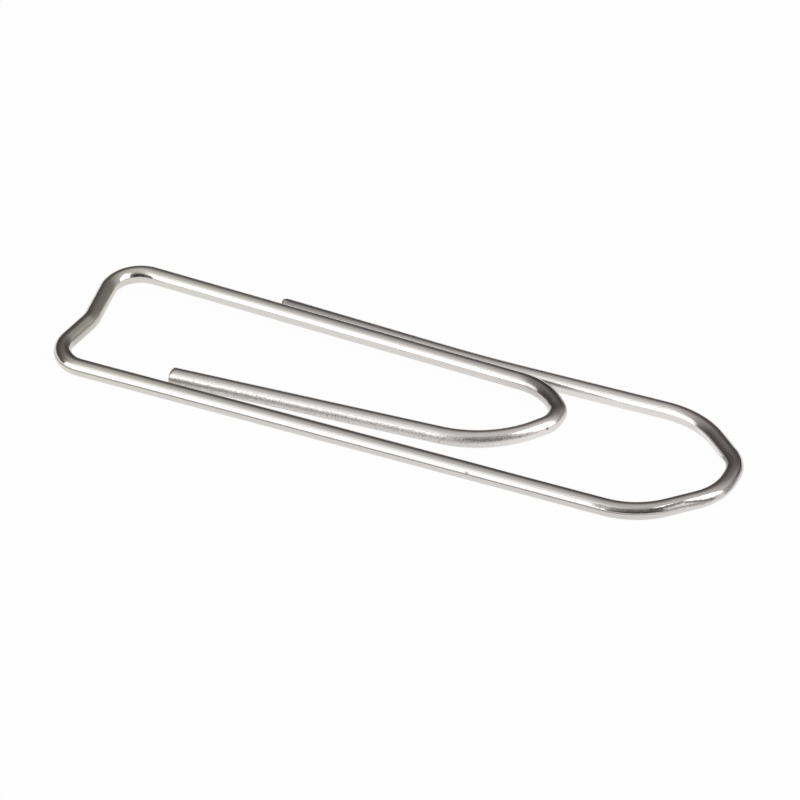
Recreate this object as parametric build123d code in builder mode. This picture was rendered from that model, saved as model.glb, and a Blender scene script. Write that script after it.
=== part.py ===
"""Pointed paper clip with a notched end, bent from one length of round plated steel wire.

The real clip is a single wire. It is built here as the stretches a wire former would name: four legs,
and three bends that are each divided across the wire where it twists as the clip is opened.

Frame: millimetres, +Z up. The clip lies on the plane z = 0 with its point towards +X and its long
outer leg at -Y. The origin is under the middle of its box.
"""

import os
from math import pi

from build123d import *

# Wire
wire_diameter = 0.80
end_round = 0.07  # rounding of the rim that the cutter leaves on both free ends

# Outer loop, measured along the clip from the notched end and across it from the long outer leg
outer_leg_length = 28.53
outer_point_reach = 2.73  # blunt tip past the long leg's own corner
outer_shoulder_setback = 2.82  # upper corner behind the tip
outer_shoulder_rise = 0.17  # upper corner above the bow of the free leg
outer_tip_flat = 2.33  # blunt tip, corner to corner
outer_tip_share = 0.521  # middle of the tip, between the long leg and the upper corner
outer_free_end = 7.90  # cut end of the free leg from the notched end

# Notched end
end_width = 7.45
notch_depth = 0.52
notch_flat = 0.40  # bottom of the notch, corner to corner
notch_share = 0.448  # middle of the notch, across the end

# Inner loop
tip_gap = 8.61  # inner tip behind the outer tip
inner_shoulder_setback = 1.23
inner_leg_taper = 0.83  # how far the long inner leg leans in towards its shoulder
inner_heel_setback = 1.88
inner_heel_height = 1.92
inner_tip_flat = 0.98
inner_tip_share = 0.633  # middle of the inner tip, between its heel and its shoulder
inner_free_end = 5.70  # cut end of the inner free leg from the notched end

# How the free legs run beside their neighbours
leg_gap = 0.03  # outer free leg to inner long leg, at the corner of the bow
bow_setback = 3.52  # bow of the outer free leg, before the inner shoulder
free_end_splay = 0.09  # extra room at the outer free leg's cut end
free_leg_gap = 0.18  # inner free leg's cut end to the long outer leg

# Heights above the outer loop, which lies flat
inner_leg_lift = 0.36
inner_tip_lift = 0.25
free_leg_lift = 0.12

# Bend radii on the wire's axis
bow_radius = 60.0
outer_shoulder_radius = 4.20
outer_tip_upper_radius = 1.90
outer_tip_lower_radius = 2.65
outer_heel_radius = 3.40
end_low_radius = 1.40
notch_radius = 1.30
end_high_radius = 1.50
inner_shoulder_radius = 2.90
inner_tip_upper_radius = 0.82
inner_tip_lower_radius = 1.06
inner_heel_radius = 5.00

# Places worked out from the sizes
outer_tip_x = outer_leg_length + outer_point_reach
inner_tip_x = outer_tip_x - tip_gap
inner_shoulder_x = inner_tip_x - inner_shoulder_setback
inner_shoulder_y = end_width - inner_leg_taper
bow_x = inner_shoulder_x - bow_setback
leg_pitch = wire_diameter + leg_gap


def inner_leg_y(x):
    """Where the long inner leg's axis lies across the clip, at a place along it."""
    return end_width - inner_leg_taper * x / inner_shoulder_x


bow_y = inner_leg_y(bow_x) + leg_pitch
outer_free_end_y = inner_leg_y(outer_free_end) + leg_pitch + free_end_splay
outer_shoulder_y = bow_y + outer_shoulder_rise
outer_tip_y = outer_tip_share * outer_shoulder_y
inner_tip_y = inner_heel_height + inner_tip_share * (inner_shoulder_y - inner_heel_height)
notch_y = notch_share * end_width
notch_lift = notch_share * inner_leg_lift

# Corners of the wire's centre line from one cut end to the other, and the radius that rounds each bend
corners = {
    "outer_free_end": Vector(outer_free_end, outer_free_end_y, 0),
    "bow": Vector(bow_x, bow_y, 0),
    "outer_shoulder": Vector(outer_tip_x - outer_shoulder_setback, outer_shoulder_y, 0),
    "outer_tip_upper": Vector(outer_tip_x, outer_tip_y + outer_tip_flat / 2, 0),
    "outer_tip_lower": Vector(outer_tip_x, outer_tip_y - outer_tip_flat / 2, 0),
    "outer_heel": Vector(outer_leg_length, 0, 0),
    "end_low": Vector(0, 0, 0),
    "notch_low": Vector(notch_depth, notch_y - notch_flat / 2, notch_lift),
    "notch_high": Vector(notch_depth, notch_y + notch_flat / 2, notch_lift),
    "end_high": Vector(0, end_width, inner_leg_lift),
    "inner_shoulder": Vector(inner_shoulder_x, inner_shoulder_y, inner_leg_lift),
    "inner_tip_upper": Vector(inner_tip_x, inner_tip_y + inner_tip_flat / 2, inner_tip_lift),
    "inner_tip_lower": Vector(inner_tip_x, inner_tip_y - inner_tip_flat / 2, inner_tip_lift),
    "inner_heel": Vector(inner_tip_x - inner_heel_setback, inner_heel_height, free_leg_lift),
    "inner_free_end": Vector(inner_free_end, wire_diameter + free_leg_gap, free_leg_lift),
}
bend_radii = {
    "bow": bow_radius,
    "outer_shoulder": outer_shoulder_radius,
    "outer_tip_upper": outer_tip_upper_radius,
    "outer_tip_lower": outer_tip_lower_radius,
    "outer_heel": outer_heel_radius,
    "end_low": end_low_radius,
    "notch_low": notch_radius,
    "notch_high": notch_radius,
    "end_high": end_high_radius,
    "inner_shoulder": inner_shoulder_radius,
    "inner_tip_upper": inner_tip_upper_radius,
    "inner_tip_lower": inner_tip_lower_radius,
    "inner_heel": inner_heel_radius,
}

# The centre line is drawn once to find its middle, and again with that middle over the origin
with BuildLine() as draft:
    FilletPolyline(*corners.values(), radius=bend_radii.values())

middle = draft.line.bounding_box().center()
ground = Vector(middle.X, middle.Y, -wire_diameter / 2)

with BuildLine() as centre_line:
    FilletPolyline(*[corner - ground for corner in corners.values()], radius=bend_radii.values())

# Straight runs and arcs take turns along the wire: a run leaves each corner, and an arc rounds each bend
wire_pieces = centre_line.wire().order_edges()
run = dict(zip(corners, wire_pieces[0::2]))
arc = dict(zip(bend_radii, wire_pieces[1::2]))


def bend_path(*corner_names):
    """The centre line through a bend's corners, from the first corner's arc to the last one's."""
    path = [arc[corner_names[0]]]
    for before, after in zip(corner_names, corner_names[1:]):
        path += [run[before], arc[after]]
    return path


def leg(path, cut_end=False):
    """A leg of the wire. A leg with a cut end has that end's rim rounded."""
    line = Wire(path)
    with BuildPart() as stretch:
        with BuildSketch(Plane(origin=line @ 0, z_dir=line % 0)):
            Circle(wire_diameter / 2)
        sweep(path=line)
        if cut_end:
            rim = stretch.edges().filter_by(GeomType.CIRCLE).sort_by(Axis.X)[0]
            fillet(rim, end_round)
    return stretch


def half_bend(path, twist, side):
    """One half of a bend, cut square across the straight run that the wire twists in."""
    line = Wire(path)
    with BuildPart() as stretch:
        with BuildSketch(Plane(origin=line @ 0, z_dir=line % 0)):
            Circle(wire_diameter / 2)
        sweep(path=line)
        split(bisect_by=Plane(origin=twist, z_dir=(0, 1, 0)), keep=side)
    return stretch


# Paths of the bowed leg and of the three whole bends
outer_free_path = [run["outer_free_end"], arc["bow"], run["bow"]]
outer_point_path = bend_path("outer_shoulder", "outer_tip_upper", "outer_tip_lower", "outer_heel")
notched_end_path = bend_path("end_low", "notch_low", "notch_high", "end_high")
inner_point_path = bend_path("inner_shoulder", "inner_tip_upper", "inner_tip_lower", "inner_heel")

# The wire twists about its own axis in the short runs that lie square across the clip
outer_twist = run["outer_tip_upper"] @ 0.5
notch_twist = run["notch_low"] @ 0.5
inner_twist = run["inner_tip_upper"] @ 0.5

# The stretches, in order along the wire. The top side of a cut is the half towards +Y
stretches = {
    "outer_free_leg": leg(outer_free_path, cut_end=True),
    "outer_point_upper": half_bend(outer_point_path, outer_twist, Keep.TOP),
    "outer_point_lower": half_bend(outer_point_path, outer_twist, Keep.BOTTOM),
    "outer_long_leg": leg([run["outer_heel"]]),
    "notch_lower": half_bend(notched_end_path, notch_twist, Keep.BOTTOM),
    "notch_upper": half_bend(notched_end_path, notch_twist, Keep.TOP),
    "inner_long_leg": leg([run["end_high"]]),
    "inner_point_upper": half_bend(inner_point_path, inner_twist, Keep.TOP),
    "inner_point_lower": half_bend(inner_point_path, inner_twist, Keep.BOTTOM),
    "inner_free_leg": leg([run["inner_heel"]], cut_end=True),
}

os.makedirs("parts", exist_ok=True)
for name, stretch in stretches.items():
    stretch.part.label = name
    export_step(stretch.part, f"parts/{name}.step")

# What the wire measures
wire_length = centre_line.wire().length
wire_section = pi * wire_diameter**2 / 4
wire_volume = sum(stretch.part.volume for stretch in stretches.values())
print(f"wire length {wire_length:.2f}, section times length {wire_section * wire_length:.3f}")
print(f"volume of all stretches {wire_volume:.3f}")
for name, point in (("outer", outer_twist), ("notch", notch_twist), ("inner", inner_twist)):
    print(f"{name} twist point {point.X:.3f} {point.Y:.3f} {point.Z:.3f}")
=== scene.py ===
# %% [markdown]
# # A pointed paper clip with a notched end
# The clip is one length of round wire, plated bright and bent cold. Its outer loop lies flat, and
# its inner tongue springs away from it to take the paper. This lesson loads the clip's solid model
# as a fixed frame, draws the wire again as a fine swept surface, gives it a plated finish and
# lights it as a small metal product is lit.

# %% Load the frame
import math
from functools import partial, reduce

import bmesh
import bpy
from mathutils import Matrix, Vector


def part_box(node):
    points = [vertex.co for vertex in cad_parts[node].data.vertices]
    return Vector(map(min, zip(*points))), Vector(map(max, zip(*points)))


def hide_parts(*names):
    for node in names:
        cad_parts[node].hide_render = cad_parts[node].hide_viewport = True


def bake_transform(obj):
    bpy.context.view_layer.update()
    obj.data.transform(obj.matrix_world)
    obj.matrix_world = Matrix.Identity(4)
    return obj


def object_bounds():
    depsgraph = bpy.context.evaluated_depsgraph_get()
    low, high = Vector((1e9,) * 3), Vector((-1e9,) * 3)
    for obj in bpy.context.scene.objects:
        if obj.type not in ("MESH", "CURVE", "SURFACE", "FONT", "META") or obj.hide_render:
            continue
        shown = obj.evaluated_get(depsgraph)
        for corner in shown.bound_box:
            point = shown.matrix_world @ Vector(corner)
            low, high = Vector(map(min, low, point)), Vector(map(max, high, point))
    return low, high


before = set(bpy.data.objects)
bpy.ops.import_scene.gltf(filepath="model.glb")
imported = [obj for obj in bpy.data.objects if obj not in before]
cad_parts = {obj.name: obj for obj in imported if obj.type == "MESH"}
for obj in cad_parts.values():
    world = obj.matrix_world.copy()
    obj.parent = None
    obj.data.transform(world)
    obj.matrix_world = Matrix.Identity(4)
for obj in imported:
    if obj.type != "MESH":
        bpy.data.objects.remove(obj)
cad_low, cad_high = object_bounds()
mm = 0.001
print("box in mm:", [round(x / mm, 2) for x in cad_high - cad_low])

# %% [markdown]
# ## The wire's centre line
# A wire former describes a clip by the corners of its centre line and by the radius of the bend at
# each corner. That is all this surface needs too, so the same sizes stand here, in millimetres.
# Lengths run from the notched end, widths from the long outer leg, and heights from the flat outer
# loop. A smooth curve drawn by eye would be quicker, but it would drift away from the solids that
# collide and move.

# %% Sizes of the bent wire, in millimetres
wire_diameter = 0.80

outer_leg_length = 28.53
outer_point_reach = 2.73  # blunt tip past the long leg's own corner
outer_shoulder_setback = 2.82  # upper corner behind the tip
outer_shoulder_rise = 0.17  # upper corner above the bow of the free leg
outer_tip_flat = 2.33  # blunt tip, corner to corner
outer_tip_share = 0.521  # middle of the tip, between the long leg and the upper corner
outer_free_end = 7.90  # cut end of the free leg from the notched end

end_width = 7.45
notch_depth = 0.52
notch_flat = 0.40  # bottom of the notch, corner to corner
notch_share = 0.448  # middle of the notch, across the end

tip_gap = 8.61  # inner tip behind the outer tip
inner_shoulder_setback = 1.23
inner_leg_taper = 0.83  # how far the long inner leg leans in towards its shoulder
inner_heel_setback = 1.88
inner_heel_height = 1.92
inner_tip_flat = 0.98
inner_tip_share = 0.633  # middle of the inner tip, between its heel and its shoulder
inner_free_end = 5.70  # cut end of the inner free leg from the notched end

leg_gap = 0.03  # outer free leg to inner long leg, at the corner of the bow
bow_setback = 3.52  # bow of the outer free leg, before the inner shoulder
free_end_splay = 0.09  # extra room at the outer free leg's cut end
free_leg_gap = 0.18  # inner free leg's cut end to the long outer leg

inner_leg_lift = 0.36
inner_tip_lift = 0.25
free_leg_lift = 0.12

wire_radius = wire_diameter / 2
leg_low, leg_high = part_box("outer_long_leg")
print("the long leg in the frame is", round((leg_high.z - leg_low.z) / mm, 3), "mm thick")

# %% Corners of the centre line
outer_tip_x = outer_leg_length + outer_point_reach
inner_tip_x = outer_tip_x - tip_gap
inner_shoulder_x = inner_tip_x - inner_shoulder_setback
inner_shoulder_y = end_width - inner_leg_taper
bow_x = inner_shoulder_x - bow_setback
leg_pitch = wire_diameter + leg_gap


def inner_leg_y(x):
    """Where the long inner leg's axis lies across the clip, at a place along it."""
    return end_width - inner_leg_taper * x / inner_shoulder_x


bow_y = inner_leg_y(bow_x) + leg_pitch
outer_free_end_y = inner_leg_y(outer_free_end) + leg_pitch + free_end_splay
outer_shoulder_y = bow_y + outer_shoulder_rise
outer_tip_y = outer_tip_share * outer_shoulder_y
inner_tip_y = inner_heel_height + inner_tip_share * (inner_shoulder_y - inner_heel_height)
notch_y = notch_share * end_width
notch_lift = notch_share * inner_leg_lift

corner_places = {  # along, across and up
    "outer_free_end": (outer_free_end, outer_free_end_y, 0),
    "bow": (bow_x, bow_y, 0),
    "outer_shoulder": (outer_tip_x - outer_shoulder_setback, outer_shoulder_y, 0),
    "outer_tip_upper": (outer_tip_x, outer_tip_y + outer_tip_flat / 2, 0),
    "outer_tip_lower": (outer_tip_x, outer_tip_y - outer_tip_flat / 2, 0),
    "outer_heel": (outer_leg_length, 0, 0),
    "end_low": (0, 0, 0),
    "notch_low": (notch_depth, notch_y - notch_flat / 2, notch_lift),
    "notch_high": (notch_depth, notch_y + notch_flat / 2, notch_lift),
    "end_high": (0, end_width, inner_leg_lift),
    "inner_shoulder": (inner_shoulder_x, inner_shoulder_y, inner_leg_lift),
    "inner_tip_upper": (inner_tip_x, inner_tip_y + inner_tip_flat / 2, inner_tip_lift),
    "inner_tip_lower": (inner_tip_x, inner_tip_y - inner_tip_flat / 2, inner_tip_lift),
    "inner_heel": (inner_tip_x - inner_heel_setback, inner_heel_height, free_leg_lift),
    "inner_free_end": (inner_free_end, wire_diameter + free_leg_gap, free_leg_lift),
}
print("corners:", len(corner_places), "with the outer tip", round(outer_tip_x, 2), "mm along")

# %% Bend radii, and the corners in the frame
bend_radii = {  # on the wire's axis. The two cut ends have no bend
    "outer_free_end": 0,
    "bow": 60.0,
    "outer_shoulder": 4.20,
    "outer_tip_upper": 1.90,
    "outer_tip_lower": 2.65,
    "outer_heel": 3.40,
    "end_low": 1.40,
    "notch_low": 1.30,
    "notch_high": 1.30,
    "end_high": 1.50,
    "inner_shoulder": 2.90,
    "inner_tip_upper": 0.82,
    "inner_tip_lower": 1.06,
    "inner_heel": 5.00,
    "inner_free_end": 0,
}

# The frame says where the drawing lies: the tip touches its box, and it holds the long leg's axis
leg_middle = (leg_low + leg_high) / 2
drawing_x = cad_high.x - (outer_tip_x + wire_radius) * mm
drawing_origin = Vector((drawing_x, leg_middle.y, leg_middle.z))
corner = {name: drawing_origin + Vector(place) * mm for name, place in corner_places.items()}
bend_radius = {name: radius * mm for name, radius in bend_radii.items()}
print("bends:", sum(radius > 0 for radius in bend_radius.values()))

# %% [markdown]
# ## Sums on sockets
# Shader maths is easier to read as sums than as boxes and lines. The class below wraps one output
# socket. Each operator adds a Math node and wraps its result, also where a plain number stands
# first. Every other node comes from one function, which sets the node up before it fills its
# sockets.


# %% A socket that takes part in sums
class Signal:
    """An output socket of a node tree."""

    def __init__(self, tree, socket):
        self.tree = tree
        self.socket = socket

    def other(self, name):
        """Another output of the same node."""
        return Signal(self.tree, self.socket.node.outputs[name])

    def math(self, operation, *values):
        """A Math node on the values, in their order."""
        sockets = dict(enumerate(values))
        return add_node(self.tree, "ShaderNodeMath", {"operation": operation}, sockets)

    def __add__(self, other):
        return self.math("ADD", self, other)

    __radd__ = __add__

    def __sub__(self, other):
        return self.math("SUBTRACT", self, other)

    def __rsub__(self, other):
        return self.math("SUBTRACT", other, self)

    def __mul__(self, other):
        return self.math("MULTIPLY", self, other)

    __rmul__ = __mul__

    def __truediv__(self, other):
        return self.math("DIVIDE", self, other)

    def __rtruediv__(self, other):
        return self.math("DIVIDE", other, self)

    def __pow__(self, other):
        return self.math("POWER", self, other)

    def __rpow__(self, other):
        return self.math("POWER", other, self)

    def __abs__(self):
        return self.math("ABSOLUTE", self)

    def most(self, other):
        """The larger of the two, point by point."""
        return self.math("MAXIMUM", self, other)


def add_node(tree, kind, settings=None, sockets=None, output=0):
    """Adds a node, sets it up, fills its sockets with values or links, and wraps one output.

    A ramp's stops are given in order, the first at 0 and the last at 1.
    """
    node = tree.nodes.new(kind)
    for name, value in (settings or {}).items():
        if name == "stops":
            for place, colour in value[1:-1]:
                node.color_ramp.elements.new(place)
            for element, (place, colour) in zip(node.color_ramp.elements, value):
                element.position = place
                element.color = colour
        else:
            setattr(node, name, value)
    for name, value in (sockets or {}).items():
        if isinstance(value, Signal):
            tree.links.new(value.socket, node.inputs[name])
        else:
            node.inputs[name].default_value = value
    return Signal(tree, node.outputs[output]) if node.outputs else node


print("sums ready:", [name for name in vars(Signal) if name.startswith("__r")])

# %% [markdown]
# ## The plated finish
# The wire is drawn steel with a thin bright coat. Drawing leaves fine lines along it, and the coat
# has a little grain. A pattern in the space around the clip would cut across the bends, so every
# point carries its place on the wire as it was before it was bent: how far along, and where on the
# round section. Noise read at that place follows the wire round every corner with no seam.

# %% The place of each point on the straight wire
def bare_tree(owner):
    """The node tree of a material or of the world, with nothing in it."""
    owner.use_nodes = True
    owner.node_tree.nodes.clear()
    return owner.node_tree


plated = bpy.data.materials.new("plated_wire")
coat_node = partial(add_node, bare_tree(plated))

straight = coat_node("ShaderNodeAttribute", {"attribute_name": "straight"}, output="Vector")
station = coat_node("ShaderNodeSeparateXYZ", None, {"Vector": straight}, "X")
side, top = station.other("Y"), station.other("Z")
along = station / mm
clock = top.math("ARCTAN2", top, side) * math.degrees(1)
depth_share = (side * side + top * top) ** 0.5 / (wire_radius * mm)
print("place on the wire: along, around by the clock, and how deep in the section")

# %% Noise on the straight wire
noise_roughness = 0.55
noise_middle = 0.5


def noise(along_per_mm, around_per_mm, detail):
    """Noise from 0 to 1, finer or coarser along the wire than around it."""
    stretch = (along_per_mm / mm, around_per_mm / mm, around_per_mm / mm)
    placed = coat_node("ShaderNodeVectorMath", {"operation": "MULTIPLY"},
                       {0: straight, 1: stretch}, "Vector")
    sockets = {"Vector": placed, "Scale": 1.0, "Detail": detail, "Roughness": noise_roughness}
    return coat_node("ShaderNodeTexNoise", None, sockets, "Fac")


def smooth(value, low, high):
    """A smooth rise from 0 at the low value to 1 at the high one."""
    sockets = {"Value": value, "From Min": low, "From Max": high}
    return coat_node("ShaderNodeMapRange", {"interpolation_type": "SMOOTHSTEP"}, sockets, "Result")


draw_lines = noise(along_per_mm=0.25, around_per_mm=14.0, detail=3.0)
ridges = noise(along_per_mm=0.10, around_per_mm=7.0, detail=1.0)
grain = noise(along_per_mm=8.0, around_per_mm=11.0, detail=2.0)
speckle = noise(along_per_mm=13.0, around_per_mm=17.0, detail=1.0) - noise_middle
print("patterns: draw lines, ridges, grain and speckle, in", len(plated.node_tree.nodes), "nodes")

# %% [markdown]
# ## How the coat changes along the wire
# The coat's lightness along the wire is partly its own tone and partly painted shade and
# reflection: it is set lower on stretches whose mirror images look darker and higher where they
# look brighter. The wire is rubbed duller where it ran through guides and against its neighbours. A
# material for each stretch would leave a hard edge between them, so ramps along the whole wire are
# used instead. One ramp holds four values at once: how light the coat is, painted shade included,
# in red, how rough in green, how grainy in blue and how ridged by the bending pins in alpha. The
# inner free leg is the grainiest, and the notched end has the ridges. A second ramp holds the tint:
# a little redder at both points and more yellow at the notched end.

# %% Lightness, roughness, grain and ridges along the wire
wire_length = 106.3
opaque = 1.0


def along_ramp(rows):
    """A ramp along the wire, from rows of millimetres and three or four values."""
    stops = [(place / wire_length, (*values, opaque)[:4]) for place, *values in rows]
    return coat_node("ShaderNodeValToRGB", {"stops": stops}, {"Fac": along / wire_length}, "Color")


coat_rows = [  # millimetres along, lightness with painted shade and reflection, roughness, grain, ridges
    (0.0, 0.48, 0.24, 0.6, 0.1),  # cut end of the outer free leg
    (6.0, 0.68, 0.26, 0.5, 0.1),
    (12.0, 0.74, 0.26, 0.3, 0.1),  # past its bow
    (19.0, 0.74, 0.22, 0.2, 0.1),  # outer shoulder
    (23.5, 0.65, 0.10, 0.2, 0.4),  # outer tip, upper bend
    (26.5, 0.70, 0.13, 0.4, 0.1),  # outer tip, lower bend
    (31.0, 0.61, 0.13, 0.5, 0.1),  # outer heel
    (36.0, 0.63, 0.11, 0.2, 0.0),  # long outer leg
    (57.5, 0.65, 0.11, 0.2, 0.1),
    (59.5, 0.52, 0.16, 0.2, 1.0),  # notched end, from its low corner
    (63.5, 0.63, 0.16, 0.2, 1.0),  # to its high one
    (68.0, 0.68, 0.24, 0.2, 0.1),  # long inner leg
    (83.0, 0.68, 0.24, 0.2, 0.0),
    (86.0, 0.55, 0.13, 0.3, 0.3),  # inner shoulder
    (87.6, 0.68, 0.28, 0.6, 0.2),  # inner tip
    (89.2, 0.80, 0.20, 0.8, 0.1),
    (93.0, 0.67, 0.20, 0.9, 0.0),  # inner heel
    (106.3, 0.67, 0.20, 0.9, 0.0),  # cut end of the inner free leg
]
coat = along_ramp(coat_rows)
ridges_here = coat.other("Alpha")
# red is the coat's own tone, partly painted shade and reflection along the wire
tone_and_painted_shade = coat_node("ShaderNodeSeparateColor", None, {"Color": coat}, "Red")
roughness_here, grain_here = tone_and_painted_shade.other("Green"), tone_and_painted_shade.other("Blue")
print("coat:", len(coat_rows), "stops along", wire_length, "mm")

# %% Tint along the wire
tint_rows = [  # millimetres along, red, green, blue
    (0.0, 1.0, 0.950, 0.945),  # cut end of the outer free leg
    (15.0, 1.0, 0.970, 0.940),
    (24.0, 1.0, 0.925, 0.920),  # outer tip
    (30.0, 1.0, 0.950, 0.905),  # outer heel
    (38.0, 1.0, 0.965, 0.945),
    (50.0, 1.0, 0.960, 0.920),  # long outer leg
    (62.0, 1.0, 0.970, 0.865),  # notched end
    (70.0, 1.0, 0.970, 0.920),  # long inner leg
    (87.0, 1.0, 0.937, 0.910),  # inner tip
    (94.0, 1.0, 0.970, 0.955),
    (106.3, 1.0, 0.965, 0.930),  # cut end of the inner free leg
]
tint = along_ramp(tint_rows)
print("tint:", len(tint_rows), "stops along", wire_length, "mm")

# %% [markdown]
# ## Tool marks and painted shade
# A forming machine bends the wire round small pins, and the pins and fingers scuff the coat where
# they press. Other bands are painted shade: inside the notched end's low corner, inside the outer
# point and its tip, on top of the inner point, and over the highlight around the outer heel. The
# scuffs at the outer heel and inside the notched end's high corner are partly painted shade. The
# band outside of the outer tip just darkens the coat. Such marks could be painted on an unwrapped
# image, but here each is a narrow band along the straight wire, which stays sharp at any size. It
# is given by where it starts and ends, by its place on the clock round the section (0 at the left
# of travel, 90 on top) and by how wide, how dark and how dull it is. Noise makes its edges ragged.
# A fine dark line along the long outer leg is a painted reflection, and the inner free leg has
# rubbed on the leg beside it. One more band, on the inside of the outer point, is the other way
# round: a painted highlight makes the coat brighter there.

# %% Where the marks are
# rows mix real tool marks and wear with bands of painted shade and a painted reflection
marks_and_painted_shade = [  # start and end along, clock at start and end, half width in degrees, dark, dull
    (23.2, 25.2, 170.0, 125.0, 20.0, 0.9, 0.2),  # painted shade inside of the outer tip
    (26.5, 28.4, 10.0, 50.0, 9.0, 1.0, 0.4),  # scuff from the outer tip, partly painted shade
    (27.8, 30.0, 50.0, 36.0, 10.0, 1.0, 0.6),  # and on over the heel, partly painted shade
    (26.2, 30.2, 12.0, 38.0, 19.0, 0.58, 0.3),  # painted shade over the highlight around both
    (28.9, 32.4, 38.0, 34.0, 12.0, 0.65, 0.8),  # and its end on the long outer leg, partly painted shade
    (64.9, 66.4, 152.0, 158.0, 12.0, 1.0, 0.6),  # pitted scuff inside of the notched end's high corner, partly painted shade
    (13.5, 16.9, 146.0, 160.0, 5.0, 0.5, 0.3),  # scratch on the outer free leg
    (57.4, 58.2, 115.0, 140.0, 22.0, 0.8, 0.4),  # painted shade inside of the notched end's low corner
    (88.9, 92.6, 20.0, 38.0, 15.0, 0.4, 0.8),  # outside of the inner heel
    (37.85, 38.07, 27.0, 27.0, 10.0, 0.7, 0.5),  # speck on the long outer leg
    (88.70, 88.82, 17.0, 17.0, 10.0, 0.9, 0.5),  # pit past the inner tip
    (20.6, 24.4, 157.0, 156.0, 11.0, 0.75, 0.0),  # painted shade inside of the outer point, before its tip
    (24.1, 26.5, 46.0, 6.0, 15.0, 0.75, 0.1),  # darker band outside of the outer tip
    (84.5, 88.3, 128.0, 96.0, 52.0, 0.50, 0.1),  # painted shade on top of the inner point
    (25.0, 64.0, 12.0, 12.0, 4.2, 0.70, 0.0),  # painted reflection: a fine dark line along the long outer leg
    (88.5, 112.0, 0.0, 0.0, 42.0, 0.0, 0.9),  # rubbed flank of the inner free leg
]
painted_highlight_place = (20.8, 23.5, 174.0, 170.0, 22.0)  # painted highlight, inside of the outer point
print("tool marks:", len(marks_and_painted_shade), "and one burnished band")

# %% The marks as bands along the wire
raggedness = 1.2  # in half widths
core, edge = 0.5, 1.1  # in half widths: a band is full within the first and gone past the second
fade = 0.2  # share of a band's length in which it fades at each end
ragged = raggedness * (noise(along_per_mm=7.0, around_per_mm=9.0, detail=2.0) - noise_middle)


def band(start, end, clock_from, clock_to, half_width):
    """1 within a ragged band along the wire, and 0 outside it."""
    share = (along - start) / (end - start)
    middle = clock_from + (clock_to - clock_from) * share
    off_middle = abs((clock - middle) / half_width + ragged)
    lengthwise = smooth(share, 0, fade) * (1 - smooth(share, 1 - fade, 1))
    return (1 - smooth(off_middle, core, edge)) * lengthwise


marks = [(band(*place), dark, dull) for *place, dark, dull in marks_and_painted_shade]
# darkest of the bands: tool marks and painted shade together
darkened_by_marks_and_shade = reduce(Signal.most, [dark * mark for mark, dark, dull in marks if dark])
dulled = reduce(Signal.most, [dull * mark for mark, dark, dull in marks if dull])
painted_highlight = band(*painted_highlight_place)
print("bands done:", len(plated.node_tree.nodes), "nodes so far")

# %% [markdown]
# ## Coat, marks and cut steel together
# Where a pin has scuffed the coat, it is darker, duller and pitted all at once, and the bands of
# painted shade darken it the same way. The faces that the cutter left at both ends are bare steel
# with no coat at all. One metal shader with a changing
# colour, roughness and height does all of it. Two shaders mixed by a mask would do as well, but
# other programs read a single shader best. The coat's colour is its tint, scaled by everything
# above, and the heights are real ones, in microns.

# %% Colour of the coat and of the cut steel
cut_steel = (0.52, 0.50, 0.48, 1.0)
face_share, rim_share = 0.84, 0.92  # of the wire's radius: bare steel within, coat beyond
pit_from, pit_to = 0.62, 0.72  # noise above these is a pit
bright_pits, bright_speckle = 0.2, 0.25  # how much of each is left where no mark dulls the coat
line_share, line_contrast = 0.6, 0.16
pit_darkness = 0.45
mark_and_shade_darkness = 0.8
speckle_contrast = 1.2
painted_highlight_gain = 0.32


def rising(share):
    """A share where the coat is bright, rising to 1 where it is dulled."""
    return share + (1 - share) * dulled


cut_face = 1 - smooth(depth_share, face_share, rim_share)
pit_noise = noise(along_per_mm=10.0, around_per_mm=12.0, detail=1.0)
pits = smooth(pit_noise, pit_from, pit_to) * grain_here * rising(bright_pits)
lines_and_grain = line_share * draw_lines + (1 - line_share) * grain
speckled = grain_here * grain_here * rising(bright_speckle) + darkened_by_marks_and_shade
shine = tone_and_painted_shade * (1 + line_contrast * (lines_and_grain - noise_middle))
# scuffs and painted shade darken the coat here
shine = shine * (1 - pit_darkness * pits) * (1 - mark_and_shade_darkness * darkened_by_marks_and_shade)
# the last factor is a painted highlight inside of the outer point
shine = shine * (1 + speckle_contrast * speckle * speckled) * (1 + painted_highlight_gain * painted_highlight)
coat_colour = coat_node("ShaderNodeVectorMath", {"operation": "SCALE"},
                        {0: tint, "Scale": shine}, "Vector")
colour = coat_node("ShaderNodeMix", {"data_type": "RGBA"},
                   {"Factor": cut_face, "A": coat_colour, "B": cut_steel}, "Result")
print("bare steel within", face_share, "of the wire's radius")

# %% Roughness, relief and the finished metal
micron = 0.001 * mm
even_spread, grain_spread = 0.04, 0.12  # how far the grain moves the roughness
dull_gain = 0.3
draw_line_height = 0.8  # this and the next five in microns
even_grain_height = 0.15
grain_height = 1.8
scuff_height = 2.0
pit_depth = 1.5
ridge_height = 24.0

roughness = roughness_here + (even_spread + grain_spread * grain_here) * (grain - noise_middle)
roughness = roughness + dull_gain * dulled.most(cut_face)
grain_rise = even_grain_height + grain_height * grain_here * grain_here + scuff_height * darkened_by_marks_and_shade
microns = draw_line_height * draw_lines + grain_rise * grain - pit_depth * pits
microns = microns + ridge_height * ridges_here * ridges
relief = coat_node("ShaderNodeBump", None,
                   {"Strength": 1.0, "Distance": micron, "Height": microns}, "Normal")
surface = coat_node(
    "ShaderNodeBsdfPrincipled", None,
    {"Base Color": colour, "Metallic": 1.0, "Roughness": roughness, "Normal": relief}, "BSDF")
coat_node("ShaderNodeOutputMaterial", None, {"Surface": surface})
print("finish:", plated.name, "with", len(plated.node_tree.nodes), "nodes")

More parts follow.
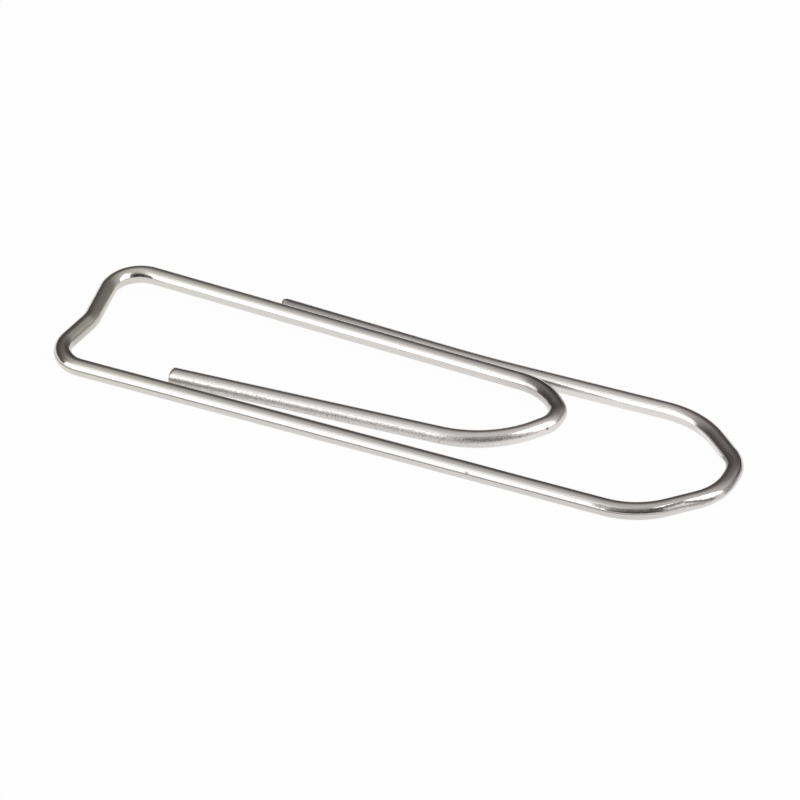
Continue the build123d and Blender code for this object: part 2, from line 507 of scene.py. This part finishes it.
# %% [markdown]
# ## A wire swept along its line
# Every stretch of this clip is the same thing: a round section carried along a line with rounded
# corners. A curve object with a bevel could draw it too, but its arcs would have to be set by hand,
# and it keeps no record of where each point lay on the straight wire. Geometry Nodes say it once.
# The tree takes a bare polyline, rounds each corner to its own radius, lays even rings along it and
# skins them. It also writes each point's place on the straight wire.

# %% Inputs of the sweep
sweep = bpy.data.node_groups.new("swept_wire", "GeometryNodeTree")
sweep_node = partial(add_node, sweep)
sweep_inputs = {
    "Line": "Geometry", "Wire Diameter": "Float", "Ring Spacing": "Float", "Sides": "Int",
    "Steps Per Bend": "Int", "Start Along": "Float", "Finish": "Material",
}
socket_id = {}
for name, kind in sweep_inputs.items():
    socket = sweep.interface.new_socket(name, in_out="INPUT", socket_type="NodeSocket" + kind)
    socket_id[name] = socket.identifier
sweep.interface.new_socket("Wire", in_out="OUTPUT", socket_type="NodeSocketGeometry")
given = sweep_node("NodeGroupInput")
print("sweep takes:", socket_id)


# %% The line of the sweep, rounded and divided evenly
def stored(geometry, name, kind, value):
    """The geometry with a value written on each of its points."""
    return sweep_node("GeometryNodeStoreNamedAttribute", {"data_type": kind, "domain": "POINT"},
                      {"Geometry": geometry, "Name": name, "Value": value})


def written(name, kind):
    """A value that was written on the points before."""
    return sweep_node("GeometryNodeInputNamedAttribute", {"data_type": kind}, {"Name": name})


path = sweep_node("GeometryNodeMeshToCurve", None, {"Mesh": given.other("Line")})
path = sweep_node("GeometryNodeFilletCurve", {"mode": "POLY"},
                  {"Curve": path, "Count": given.other("Steps Per Bend"),
                   "Radius": written("bend_radius", "FLOAT")})
path = sweep_node("GeometryNodeResampleCurve", {"mode": "LENGTH"},
                  {"Curve": path, "Length": given.other("Ring Spacing")})
path = sweep_node("GeometryNodeSetCurveNormal", {"mode": "Z_UP"}, {"Curve": path})
path_length = sweep_node("GeometryNodeSplineParameter", output="Length")
path = stored(path, "along", "FLOAT", path_length + given.other("Start Along"))
print("line of the sweep:", len(sweep.nodes), "nodes")

# %% The skin of the sweep, and its finish
disc_corners = 5  # a face with this many corners or more is a flat end disc

section = sweep_node("GeometryNodeCurvePrimitiveCircle", {"mode": "RADIUS"},
                     {"Resolution": given.other("Sides"),
                      "Radius": given.other("Wire Diameter") * 0.5})
section = stored(section, "section", "FLOAT_VECTOR", sweep_node("GeometryNodeInputPosition"))
skin = sweep_node("GeometryNodeCurveToMesh", None,
                  {"Curve": path, "Profile Curve": section, "Fill Caps": True})

section_side = sweep_node("ShaderNodeSeparateXYZ", None,
                          {"Vector": written("section", "FLOAT_VECTOR")}, "X")
place_on_wire = sweep_node("ShaderNodeCombineXYZ", None,
                           {"X": written("along", "FLOAT"), "Y": 0 - section_side,
                            "Z": 0 - section_side.other("Y")})
skin = stored(skin, "straight", "FLOAT_VECTOR", place_on_wire)
for spent in ("along", "section"):
    skin = sweep_node("GeometryNodeRemoveAttribute", None, {"Geometry": skin, "Name": spent})

face_corners = sweep_node("GeometryNodeInputMeshFaceNeighbors", output="Vertex Count")
round_face = face_corners.math("LESS_THAN", face_corners, disc_corners)
skin = sweep_node("GeometryNodeSetShadeSmooth", {"domain": "FACE"},
                  {"Geometry": skin, "Shade Smooth": round_face})
skin = sweep_node("GeometryNodeRealizeInstances", None, {"Geometry": skin})
skin = sweep_node("GeometryNodeSetMaterial", None,
                  {"Geometry": skin, "Material": given.other("Finish")})
sweep_node("NodeGroupOutput", None, {"Wire": skin})
print("whole sweep:", len(sweep.nodes), "nodes")

# %% [markdown]
# ## Three lengths of wire
# The clip bends at three places as it opens: at the outer point, at the notched end and at the
# inner point. A surface can follow only the two sides of one joint, so the wire is drawn in three
# lengths, one around each joint. They meet on a straight leg, a little before its bend, where the
# end rings of both lengths lie on the same points and nothing shows. At the very start of a bend
# the rings would already tilt, and a dark hair would open between them.

# %% Draw one length of wire
ring_spacing = 0.08
sides = 48
steps_per_bend = 40


def bent_wire(name, points, radii, start_along):
    """A length of wire along a polyline, as a plain mesh at the origin, and where along it ends."""
    line = bpy.data.meshes.new(name + "_line")
    line.from_pydata(points, [(i, i + 1) for i in range(len(points) - 1)], [])
    line.attributes.new("bend_radius", "FLOAT", "POINT").data.foreach_set("value", radii)
    wire = bpy.data.objects.new(name, line)
    bpy.context.scene.collection.objects.link(wire)
    swept = wire.modifiers.new("sweep", "NODES")
    swept.node_group = sweep
    inputs = {
        "Wire Diameter": wire_diameter * mm, "Ring Spacing": ring_spacing * mm, "Sides": sides,
        "Steps Per Bend": steps_per_bend, "Start Along": start_along, "Finish": plated,
    }
    for input_name, value in inputs.items():
        swept[socket_id[input_name]] = value
    seen = bpy.context.evaluated_depsgraph_get()
    mesh = bpy.data.meshes.new_from_object(
        wire.evaluated_get(seen), preserve_all_data_layers=True, depsgraph=seen)
    wire.modifiers.clear()
    wire.data = mesh
    mesh.name = name
    bpy.data.meshes.remove(line)
    end_along = max(value.vector.x for value in mesh.attributes["straight"].data)
    return wire, end_along


print("each length has", sides, "sides and a ring every", ring_spacing, "mm")

# %% The three lengths, one around each joint
seam_setback = 1.2


def seam(name):
    """The place where two lengths meet, on the straight run before a corner's bend."""
    places = list(corner.values())
    i = list(corner).index(name)
    into = (places[i] - places[i - 1]).normalized()
    turn = into.angle(places[i + 1] - places[i])
    return places[i] - into * (bend_radius[name] * math.tan(turn / 2) + seam_setback * mm)


leg_seam = seam("end_low")
tongue_seam = seam("inner_shoulder")
lengths = {
    "outer_loop_wire": ["outer_free_end", "bow", "outer_shoulder", "outer_tip_upper",
                        "outer_tip_lower", "outer_heel", leg_seam],
    "notched_end_wire": [leg_seam, "end_low", "notch_low", "notch_high", "end_high", tongue_seam],
    "inner_tongue_wire": [tongue_seam, "inner_shoulder", "inner_tip_upper", "inner_tip_lower",
                          "inner_heel", "inner_free_end"],
}
wires = {}
run_out = 0.0
for name, route in lengths.items():
    points = [corner[stop] if isinstance(stop, str) else stop for stop in route]
    radii = [bend_radius[stop] if isinstance(stop, str) else 0.0 for stop in route]
    wires[name], run_out = bent_wire(name, points, radii, run_out)
    print(name, "ends", round(run_out / mm, 2), "mm along")

# %% [markdown]
# ## The two cut ends
# The wire is cut with a pinching blade. It presses one side of the end round before it breaks
# through, and leaves a sharp rim and sometimes a small burr on the other. A bevel would round the
# rim by the same amount all the way about. So the last rings of the sweep and its flat disc are
# taken off, and the end is laid again ring by ring, with a wider round where the blade pressed.

# %% How a cut end is laid
end_reach = 0.27  # how much of the swept end is taken off
rim_roll = 0.07  # rounding of the rim away from the blade, as on the solids
roll_steps = 6
face_shares = (0.8, 0.55, 0.3)  # rings within the flat face
burr_sharpness = 24


def lay_cut_end(wire, tip, behind, outwards, top_roll, burr, burr_clock):
    """Gives a wire's flat end a rim that is rolled over, wider on top, and a burr."""
    out = (tip - behind).normalized()
    shape = bmesh.new()
    shape.from_mesh(wire.data)
    place = shape.verts.layers.float_vector["straight"]
    near_reach = (end_reach + wire_diameter) * mm
    near = [vert for vert in shape.verts if (vert.co - tip).length < near_reach]
    spent = [vert for vert in near if (vert.co - tip).dot(out) > -end_reach * mm]
    bmesh.ops.delete(shape, geom=spent, context="VERTS")

    def around(vert):
        """The angle of a point round the section, 0 at the left of travel."""
        return math.atan2(vert[place].z, vert[place].y)

    ring = sorted((vert for vert in shape.verts if vert.is_boundary), key=around)
    middle = sum((vert.co for vert in ring), Vector()) / len(ring)
    reach = (tip - middle).dot(out)

    def lay_row(turn, share):
        """A ring of points, at an angle of the rolled rim and at a share of its size there."""
        row = []
        for vert in ring:
            up_share = max(math.sin(around(vert)), 0.0)
            near_burr = max(math.cos(around(vert) - math.radians(burr_clock)), 0.0)
            bend = (rim_roll + (top_roll - rim_roll) * up_share**2) * mm
            size = share * (1 - bend / (wire_radius * mm) * (1 - math.cos(turn)))
            push = burr * mm * math.sin(turn) * share * near_burr**burr_sharpness
            spoke = vert.co - middle
            step = reach - bend + bend * math.sin(turn)
            point = shape.verts.new(middle + spoke * size + spoke.normalized() * push + out * step)
            ring_along, ring_side, ring_top = vert[place]
            point[place] = (ring_along + outwards * step, ring_side * size, ring_top * size)
            row.append(point)
        return row

    rows = [ring] + [lay_row(k / roll_steps * math.pi / 2, 1.0) for k in range(roll_steps + 1)]
    rows += [lay_row(math.pi / 2, share) for share in face_shares]
    for inner, outer in zip(rows, rows[1:]):
        for k in range(len(ring)):
            shape.faces.new((inner[k - 1], inner[k], outer[k], outer[k - 1]))
    centre = shape.verts.new(middle + out * reach)
    centre[place] = (ring[0][place].x + outwards * reach, 0, 0)
    for k in range(len(ring)):
        shape.faces.new((rows[-1][k - 1], rows[-1][k], centre))
    bmesh.ops.recalc_face_normals(shape, faces=shape.faces)
    for face in shape.faces:
        face.smooth = len(face.verts) < disc_corners
    shape.to_mesh(wire.data)
    shape.free()


print("a cut end has", roll_steps + 1 + len(face_shares), "rings and a middle point")

# %% Lay both cut ends
lay_cut_end(wires["outer_loop_wire"], tip=corner["outer_free_end"], behind=corner["bow"],
            outwards=-1, top_roll=0.16, burr=0.09, burr_clock=96)
lay_cut_end(wires["inner_tongue_wire"], tip=corner["inner_free_end"], behind=corner["inner_heel"],
            outwards=1, top_roll=0.19, burr=0.0, burr_clock=90)
for name, wire in wires.items():
    print(name, "has", len(wire.data.vertices), "points and", len(wire.data.polygons), "faces")

# %% [markdown]
# ## Bodies and joints
# A real clip has no hinge: it opens because its wire twists in its bends. Cut into stiff pieces,
# the drawn wire would show a kink at every joint. Each length takes the place of the solids it
# follows.

# %% Bake the lengths in place and hide the solids they replace
ties = {  # joint, bodies at its lower and higher Y, length that twists, solids that are replaced
    "outer_loop_wire": (
        "outer_arm_flex", "outer_frame", "outer_arm", outer_tip_flat,
        ("outer_free_leg", "outer_point_upper", "outer_point_lower", "outer_long_leg")),
    "notched_end_wire": (
        "tongue_lift", "outer_frame", "tongue", notch_flat,
        ("notch_lower", "notch_upper", "inner_long_leg")),
    "inner_tongue_wire": (
        "tongue_arm_flex", "tongue_arm", "tongue", inner_tip_flat,
        ("inner_point_upper", "inner_point_lower", "inner_free_leg")),
}
for name, (joint, lower_body, upper_body, twist_length, solids) in ties.items():
    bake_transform(wires[name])
    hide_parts(*solids)
    print(name, "bends between", lower_body, "and", upper_body)

# %% [markdown]
# ## A product studio
# A polished wire shows nothing but its surroundings, so the light is most of the picture. Two soft
# boxes stand left and right of the camera over a white floor, and the walls of the room are dark,
# because dark bands are what make a bright wire look round. A strong lamp could make any floor
# white, but it would bleach the clip as well. So the floor glows white to the camera and in the
# wire's reflections, and takes the clip's shadow in the small part of it that is lit.


# %% Directions and pieces of the set
def direction(azimuth, elevation):
    """A unit vector. Azimuth 0 points to the front, along -Y, and 90 to the right, along +X."""
    a, e = math.radians(azimuth), math.radians(elevation)
    return Vector((math.sin(a) * math.cos(e), -math.cos(a) * math.cos(e), math.sin(e)))


def stage_piece(name, mesh, material):
    """An object on the set, which is no part of the clip."""
    piece = bpy.data.objects.new(name, mesh)
    bpy.context.scene.collection.objects.link(piece)
    mesh.materials.append(material)
    return piece


print("front:", direction(0, 0).to_tuple(2), "right:", direction(90, 0).to_tuple(2))

# %% White floor
white = (1.0, 1.0, 1.0, 1.0)
floor_grey = (0.9, 0.9, 0.9, 1.0)
floor_reach = 3.0
floor_glow_share = 0.97

floor_white = bpy.data.materials.new("floor_white")
floor_node = partial(add_node, bare_tree(floor_white))
camera_ray = floor_node("ShaderNodeLightPath", output="Is Camera Ray")
glossy_ray = camera_ray.other("Is Glossy Ray")
background_ray = camera_ray.most(glossy_ray).most(camera_ray.other("Is Transmission Ray"))
lit = floor_node("ShaderNodeBsdfDiffuse", None, {"Color": floor_grey})
glow = floor_node("ShaderNodeEmission", None, {"Color": white, "Strength": 1.0})
floor_look = floor_node("ShaderNodeMixShader", None,
                        {"Fac": floor_glow_share * background_ray, 1: lit, 2: glow})
floor_node("ShaderNodeOutputMaterial", None, {"Surface": floor_look})

unit_square = ((-1, -1), (1, -1), (1, 1), (-1, 1))
floor_corners = [(x * floor_reach, y * floor_reach, 0) for x, y in unit_square]
floor_mesh = bpy.data.meshes.new("white_floor")
floor_mesh.from_pydata(floor_corners, [], [range(4)])
stage_piece("white_floor", floor_mesh, floor_white)
print("floor:", 2 * floor_reach, "m across")

# %% [markdown]
# ### Dark walls
# The photograph's wire shows a room that is dark near the table, paler overhead, and paler again
# around each lamp. Real walls would need bouncing light, which is slow and grainy. A large ball
# around the set gives the same reflections at once: it glows by height, and a little more towards
# each lamp. The camera doesn't see it, and it isn't searched for as a lamp, only met by rays.

# %% Glow of the walls
wall_stops = [  # height, from 0 at the floor to 1 overhead, and the wall's colour there
    (0.0, (0.10, 0.09, 0.092, 1.0)),
    (0.50, (0.11, 0.10, 0.10, 1.0)),
    (0.70, (0.20, 0.19, 0.185, 1.0)),
    (0.82, (0.42, 0.41, 0.40, 1.0)),
    (0.90, (0.58, 0.57, 0.56, 1.0)),
    (1.0, (0.70, 0.69, 0.68, 1.0)),
]
# Where each soft box spills light on the wall: azimuth, elevation, brightness, speed of falling off
spills = ((-33, 40, 1.2, 11), (118, 30, 0.5, 8))

room_dark = bpy.data.materials.new("room_dark")
room_node = partial(add_node, bare_tree(room_dark))
toward = room_node("ShaderNodeVectorMath", {"operation": "NORMALIZE"},
                   {0: room_node("ShaderNodeTexCoord", output="Object")}, "Vector")
height = room_node("ShaderNodeSeparateXYZ", None, {0: toward}, "Z")
wall = room_node("ShaderNodeValToRGB", {"stops": wall_stops}, {"Fac": height}, "Color")
for azimuth, elevation, brightness, falloff in spills:
    facing = room_node("ShaderNodeVectorMath", {"operation": "DOT_PRODUCT"},
                       {0: toward, 1: direction(azimuth, elevation)}, "Value")
    spill = brightness * facing.most(0.0) ** falloff
    spill_colour = room_node("ShaderNodeCombineColor", None, {0: spill, 1: spill, 2: spill})
    wall = room_node("ShaderNodeMix", {"data_type": "RGBA", "blend_type": "ADD"},
                     {"Factor": 1.0, "A": wall, "B": spill_colour}, "Result")
wall_glow = room_node("ShaderNodeEmission", None, {"Color": wall, "Strength": 1.0})
room_node("ShaderNodeOutputMaterial", None, {"Surface": wall_glow})
room_dark.cycles.emission_sampling = "NONE"
print("walls glow by height, with", len(spills), "spills of light")

# %% Ball of the walls
room_radius = 1.5
room_mesh = bpy.data.meshes.new("room_walls")
ball = bmesh.new()
bmesh.ops.create_icosphere(ball, subdivisions=5, radius=room_radius)
ball.to_mesh(room_mesh)
ball.free()
walls = stage_piece("room_walls", room_mesh, room_dark)
walls.visible_camera = False
print("walls:", len(room_mesh.polygons), "faces, out of the camera's sight")

# %% [markdown]
# ### Soft boxes
# The bright lines along the legs and at the points are the mirror images of two large lamps. Where
# a line starts and stops on the wire says which angles the lamp fills, so each lamp is given by
# those angles and by how bright it looks. Its power follows from that and from its size.


# %% Soft boxes
def soft_box(name, azimuth, half_angle, low, high, distance, radiance):
    """An upright rectangular lamp that faces the clip, given by the angles it fills from there."""
    bottom, top = (distance * math.tan(math.radians(angle)) for angle in (low, high))
    lamp = bpy.data.lights.new(name, "AREA")
    lamp.shape = "RECTANGLE"
    lamp.size = 2 * distance * math.tan(math.radians(half_angle))
    lamp.size_y = top - bottom
    lamp.energy = radiance * math.pi * lamp.size * lamp.size_y
    box = bpy.data.objects.new(name, lamp)
    bpy.context.scene.collection.objects.link(box)
    box.location = direction(azimuth, 0) * distance + Vector((0, 0, (bottom + top) / 2))
    box.rotation_mode = "QUATERNION"
    box.rotation_quaternion = direction(azimuth, 0).to_track_quat("Z", "Y")
    box.visible_camera = False
    return box


boxes = [
    soft_box("left_soft_box", azimuth=-36, half_angle=24, low=1, high=35,
             distance=0.7, radiance=2.2),
    soft_box("right_soft_box", azimuth=85, half_angle=23, low=4, high=64,
             distance=0.6, radiance=1.9),
]
print("soft boxes:", [(box.name, round(box.data.energy, 2)) for box in boxes])

# %% [markdown]
# ### White surround
# The floor ends 3 m away. A low view from the side would look past its edge, so the world behind it
# is white too. The walls keep its light off the clip.

# %% White beyond the floor
world = bpy.data.worlds.new("white_surround")
bpy.context.scene.world = world
world_node = partial(add_node, bare_tree(world))
surround = world_node("ShaderNodeBackground", None, {"Color": white, "Strength": 1.0})
world_node("ShaderNodeOutputWorld", None, {"Surface": surround})
print("surround: white, seen by the camera past the floor's edge")

# %% [markdown]
# ## The camera
# The photograph was taken with a long lens from the front right, about two fifths of the way up
# from the table to straight above. The distance hardly shows, but the angles decide how the legs
# overlap. The aim and the lens are worked out from where the clip's middle lies in the picture and
# from how large a millimetre is there.

# %% Camera
camera_azimuth = 24.232
camera_elevation = 35.712
camera_distance = 300 * mm
picture_width = 800
pixels_per_mm = 22.503
middle_at = Vector((404.58, 395.06))  # pixels from the top left
clip_middle = Vector((0, 0, leg_middle.z))

back = direction(camera_azimuth, camera_elevation)
right = direction(camera_azimuth + 90, 0)
up = back.cross(right)
aim = clip_middle - right * (middle_at.x - picture_width / 2) / pixels_per_mm * mm
aim += up * (middle_at.y - picture_width / 2) / pixels_per_mm * mm

lens = bpy.data.cameras.new("camera")
lens.sensor_width = 36.0
lens.lens = pixels_per_mm / mm * camera_distance * lens.sensor_width / picture_width
lens.clip_start = 0.01
camera = bpy.data.objects.new("camera", lens)
bpy.context.scene.collection.objects.link(camera)
camera.location = aim + back * camera_distance
camera.rotation_mode = "QUATERNION"
camera.rotation_quaternion = back.to_track_quat("Z", "Y")
bpy.context.scene.camera = camera
bpy.context.scene.view_settings.view_transform = "Standard"
print("lens:", round(lens.lens, 1), "mm")

# %% [markdown]
# ## Size
# The drawn wire has to stay the size of the solids.
